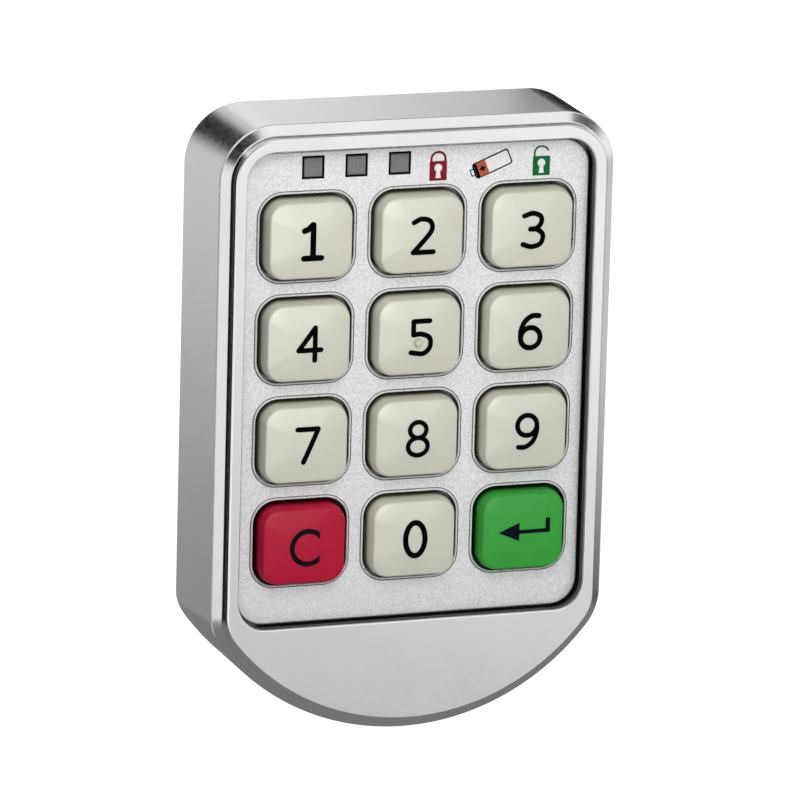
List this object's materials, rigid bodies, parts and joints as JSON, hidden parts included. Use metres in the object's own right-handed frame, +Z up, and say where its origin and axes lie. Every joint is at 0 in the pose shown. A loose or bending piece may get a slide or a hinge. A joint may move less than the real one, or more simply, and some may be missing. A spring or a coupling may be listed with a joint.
{
  "type": "electronic cabinet lock",
  "caption": "Electronic cabinet lock: a metal housing with a recessed number keypad and status windows in front, and a motor-driven cam on a threaded barrel behind the door.",
  "frame": {"origin": "where the spindle's axis crosses the plane of the door's outer face, which the housing's rear edge lies on", "axes": "+Z up the door, +Y into the door along the spindle, the keypad faces -Y, and +X is to the right for someone facing the keypad"},
  "size_m": [0.07, 0.0418, 0.09],
  "materials": {
    "zinc": "satin chrome plating over die-cast zinc, brighter on the ledge and rim",
    "fascia": "fine metallic silver paint with printed marks",
    "ivory": "moulded ivory plastic, printed numbers",
    "red": "moulded red plastic, printed letter",
    "green": "moulded green plastic, printed arrow",
    "lens": "smoked clear plastic",
    "silicone": "moulded silicone",
    "board": "green solder mask",
    "black_plastic": "fine spark-eroded texture",
    "white_plastic": "plain moulded",
    "nylon": "natural nylon",
    "brass": "machined",
    "steel": "bright zinc plated",
    "contact": "nickel plated spring strip",
    "red_wire": "insulated wire",
    "black_wire": "insulated wire",
    "seal": "black elastomer"
  },
  "bodies": {
    "lock_body": {"housing": "zinc", "barrel": "zinc", "gear_plate": "zinc", "fascia_plate": "fascia", "indicator_window_1": "lens", "indicator_window_2": "lens", "indicator_window_3": "lens", "key_mat": "silicone", "circuit_board": "board", "back_plate": "black_plastic", "battery_tray": "black_plastic", "battery_cover": "black_plastic", "controller_chip": "black_plastic", "buzzer": "black_plastic", "motor_plug": "white_plastic", "mounting_nut": "steel", "mounting_washer": "steel", "gear_motor": "steel", "gear_pin_1": "steel", "gear_pin_2": "steel", "coin_cell_left": "steel", "coin_cell_right": "steel", "battery_cover_screw": "steel", "barrel_screw_1": "steel", "barrel_screw_2": "steel", "back_plate_screw_1": "steel", "back_plate_screw_2": "steel", "back_plate_screw_3": "steel", "back_plate_screw_4": "steel", "board_screw_1": "steel", "board_screw_2": "steel", "board_screw_3": "steel", "board_screw_4": "steel", "cell_link_strip": "contact", "contact_strip_left": "contact", "contact_strip_right": "contact", "motor_wire_red": "red_wire", "motor_wire_black": "black_wire", "door_gasket": "seal"},
    "cam_drive": {"spindle": "steel", "output_gear": "brass", "cam": "steel", "cam_screw": "steel"},
    "second_gear_set": {"second_gear": "nylon"},
    "first_gear_set": {"first_gear": "nylon"},
    "motor_rotor": {"motor_pinion": "brass"},
    "cap_1": {"key_1": "ivory"},
    "cap_2": {"key_2": "ivory"},
    "cap_3": {"key_3": "ivory"},
    "cap_4": {"key_4": "ivory"},
    "cap_5": {"key_5": "ivory"},
    "cap_6": {"key_6": "ivory"},
    "cap_7": {"key_7": "ivory"},
    "cap_8": {"key_8": "ivory"},
    "cap_9": {"key_9": "ivory"},
    "cap_clear": {"key_clear": "red"},
    "cap_0": {"key_0": "ivory"},
    "cap_enter": {"key_enter": "green"}
  },
  "joints": [
    {"name": "press_1", "type": "slide", "parent": "lock_body", "child": "cap_1", "axis": [0, 1, 0], "range_m": [0, 0.001], "stiffness_N_per_m": 900},
    {"name": "press_2", "type": "slide", "parent": "lock_body", "child": "cap_2", "axis": [0, 1, 0], "range_m": [0, 0.001], "stiffness_N_per_m": 900},
    {"name": "press_3", "type": "slide", "parent": "lock_body", "child": "cap_3", "axis": [0, 1, 0], "range_m": [0, 0.001], "stiffness_N_per_m": 900},
    {"name": "press_4", "type": "slide", "parent": "lock_body", "child": "cap_4", "axis": [0, 1, 0], "range_m": [0, 0.001], "stiffness_N_per_m": 900},
    {"name": "press_5", "type": "slide", "parent": "lock_body", "child": "cap_5", "axis": [0, 1, 0], "range_m": [0, 0.001], "stiffness_N_per_m": 900},
    {"name": "press_6", "type": "slide", "parent": "lock_body", "child": "cap_6", "axis": [0, 1, 0], "range_m": [0, 0.001], "stiffness_N_per_m": 900},
    {"name": "press_7", "type": "slide", "parent": "lock_body", "child": "cap_7", "axis": [0, 1, 0], "range_m": [0, 0.001], "stiffness_N_per_m": 900},
    {"name": "press_8", "type": "slide", "parent": "lock_body", "child": "cap_8", "axis": [0, 1, 0], "range_m": [0, 0.001], "stiffness_N_per_m": 900},
    {"name": "press_9", "type": "slide", "parent": "lock_body", "child": "cap_9", "axis": [0, 1, 0], "range_m": [0, 0.001], "stiffness_N_per_m": 900},
    {"name": "press_clear", "type": "slide", "parent": "lock_body", "child": "cap_clear", "axis": [0, 1, 0], "range_m": [0, 0.001], "stiffness_N_per_m": 900},
    {"name": "press_0", "type": "slide", "parent": "lock_body", "child": "cap_0", "axis": [0, 1, 0], "range_m": [0, 0.001], "stiffness_N_per_m": 900},
    {"name": "press_enter", "type": "slide", "parent": "lock_body", "child": "cap_enter", "axis": [0, 1, 0], "range_m": [0, 0.001], "stiffness_N_per_m": 900},
    {"name": "cam_turn", "type": "hinge", "parent": "lock_body", "child": "cam_drive", "pos_m": [0, 0, 0], "axis": [0, 1, 0], "range_deg": [0, 90]},
    {"name": "second_gear_turn", "type": "hinge", "parent": "lock_body", "child": "second_gear_set", "pos_m": [0, 0, -0.0155], "axis": [0, 1, 0], "range_deg": [-375.1, 0]},
    {"name": "first_gear_turn", "type": "hinge", "parent": "lock_body", "child": "first_gear_set", "pos_m": [0, 0, -0.026], "axis": [0, 1, 0], "range_deg": [0, 1200.1]},
    {"name": "motor_turn", "type": "hinge", "parent": "lock_body", "child": "motor_rotor", "pos_m": [0, 0, -0.036], "axis": [0, 1, 0], "range_deg": [-4800.1, 0]}
  ],
  "couplings": [
    {"joint": "second_gear_turn", "follows": "cam_turn", "ratio": -4.1667},
    {"joint": "first_gear_turn", "follows": "cam_turn", "ratio": 13.333},
    {"joint": "motor_turn", "follows": "cam_turn", "ratio": -53.333}
  ]
}
